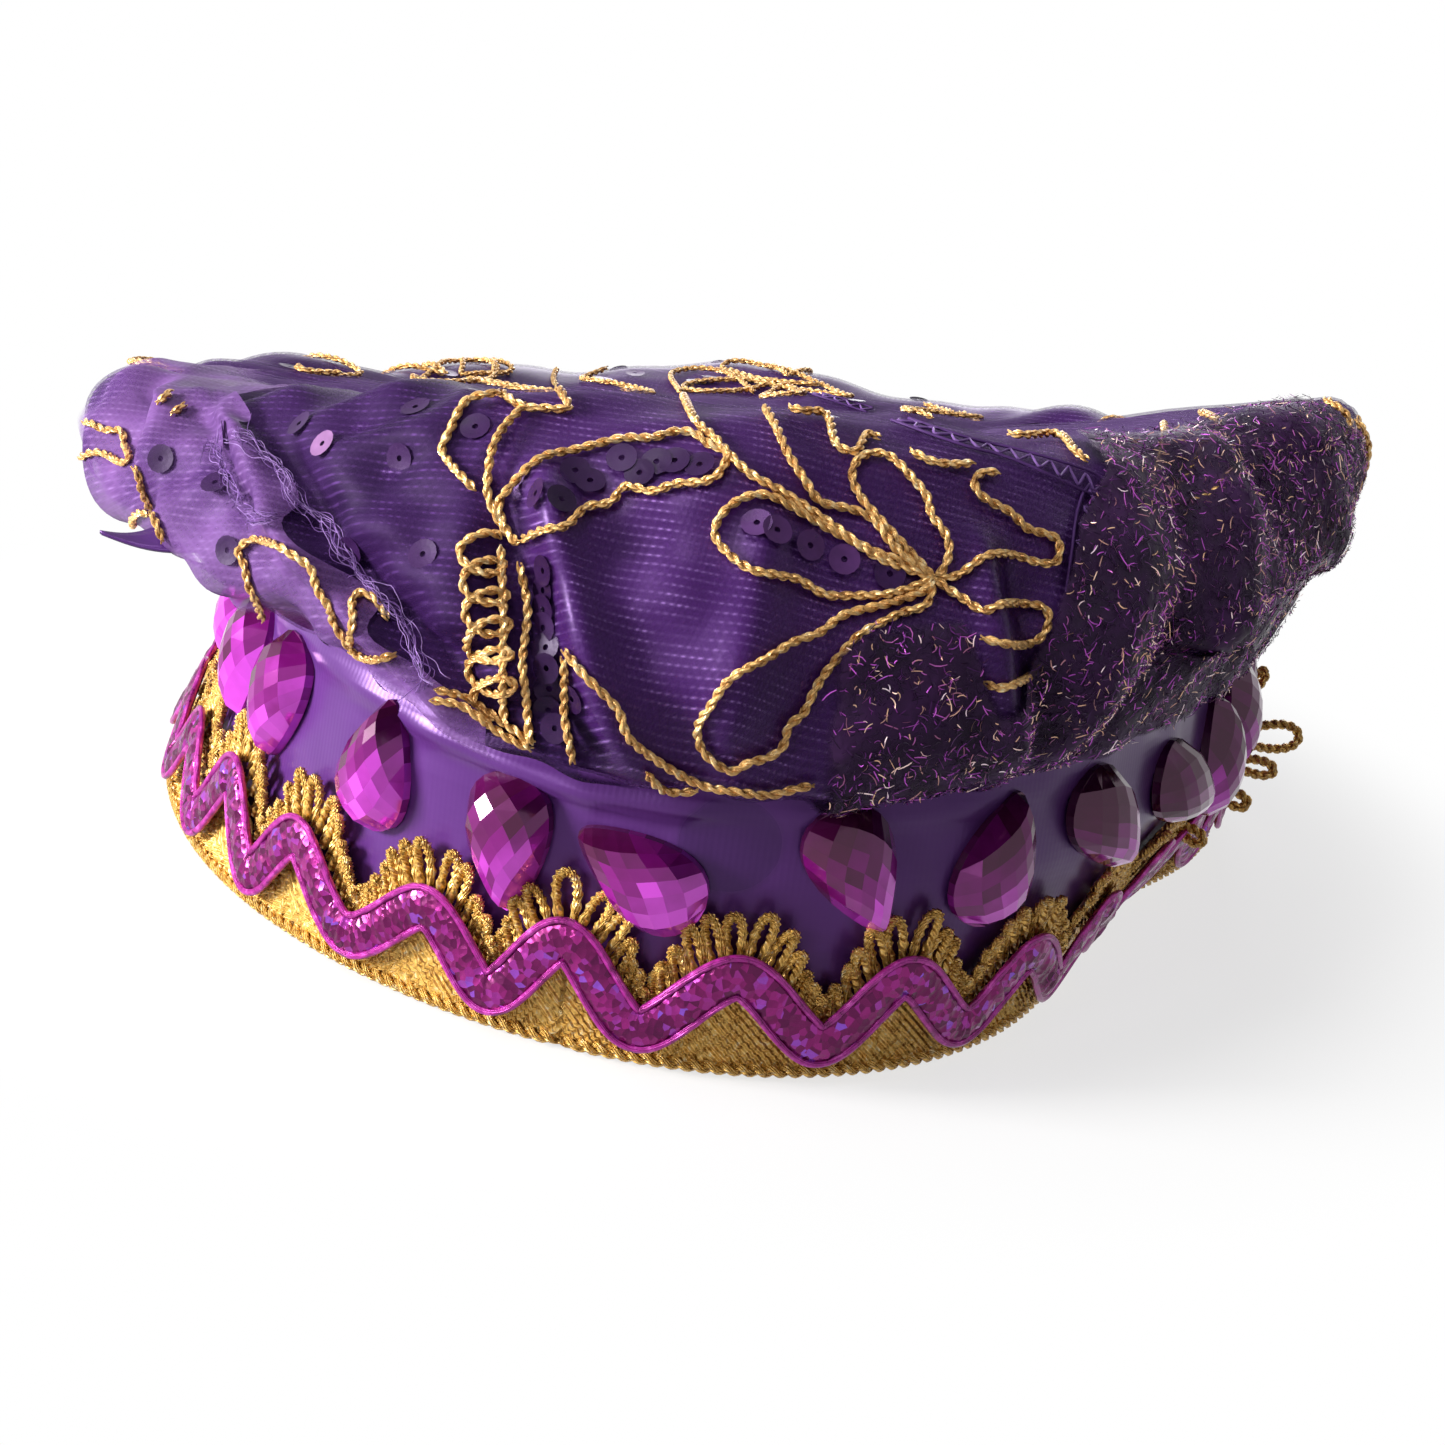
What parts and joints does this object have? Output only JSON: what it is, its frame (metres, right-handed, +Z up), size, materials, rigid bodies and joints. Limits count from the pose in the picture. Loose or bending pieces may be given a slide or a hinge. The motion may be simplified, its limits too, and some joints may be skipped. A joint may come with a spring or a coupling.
{
  "type": "costume cap",
  "caption": "Soft purple satin costume cap: a stiffened, jewelled band with scalloped gold braid and zigzag ribbon under a wide drooping crown with gold cord embroidery.",
  "frame": {"origin": "middle of the cap's box, on the plane that the band's foot stands on", "axes": "+Z up out of the crown; -Y is the front with the cord flower; +X is the right side seen from the front"},
  "size_m": [0.1984, 0.2358, 0.0834],
  "materials": {
    "purple_lining": "matt woven lining",
    "stiff_canvas": "stiff sized canvas",
    "purple_satin": "glossy satin",
    "purple_net": "fine sheer net",
    "tinsel_net": "dark net with glittering filaments",
    "gold_braid": "braid of metallic gold thread",
    "gold_cord": "twisted metallic gold cord",
    "magenta_ribbon": "shiny ribbon with a glitter filling",
    "purple_jewel": "faceted, glossy, foiled back"
  },
  "bodies": {
    "root": {"band_lining": "purple_lining", "band_stiffener": "stiff_canvas", "band_satin": "purple_satin", "gold_braid": "gold_braid", "zigzag_ribbon": "magenta_ribbon", "crown_satin": "purple_satin", "net_overlay": "purple_net", "tinsel_panel": "tinsel_net", "jewel_01": "purple_jewel", "jewel_02": "purple_jewel", "jewel_03": "purple_jewel", "jewel_04": "purple_jewel", "jewel_05": "purple_jewel", "jewel_06": "purple_jewel", "jewel_07": "purple_jewel", "jewel_08": "purple_jewel", "jewel_09": "purple_jewel", "jewel_10": "purple_jewel", "jewel_11": "purple_jewel", "jewel_12": "purple_jewel", "jewel_13": "purple_jewel", "jewel_14": "purple_jewel", "jewel_15": "purple_jewel", "jewel_16": "purple_jewel", "jewel_17": "purple_jewel", "jewel_18": "purple_jewel", "jewel_19": "purple_jewel", "jewel_20": "purple_jewel", "jewel_21": "purple_jewel", "jewel_22": "purple_jewel", "jewel_23": "purple_jewel", "jewel_24": "purple_jewel", "jewel_25": "purple_jewel", "jewel_26": "purple_jewel", "jewel_27": "purple_jewel", "flower_cord": "gold_cord", "leaf_cord_front": "gold_cord", "leaf_cord_front_left": "gold_cord", "leaf_cord_left": "gold_cord", "leaf_cord_right": "gold_cord", "leaf_cord_right_rim": "gold_cord", "leaf_cord_back_right": "gold_cord", "leaf_cord_back": "gold_cord", "leaf_cord_back_left": "gold_cord"}
  },
  "joints": []
}
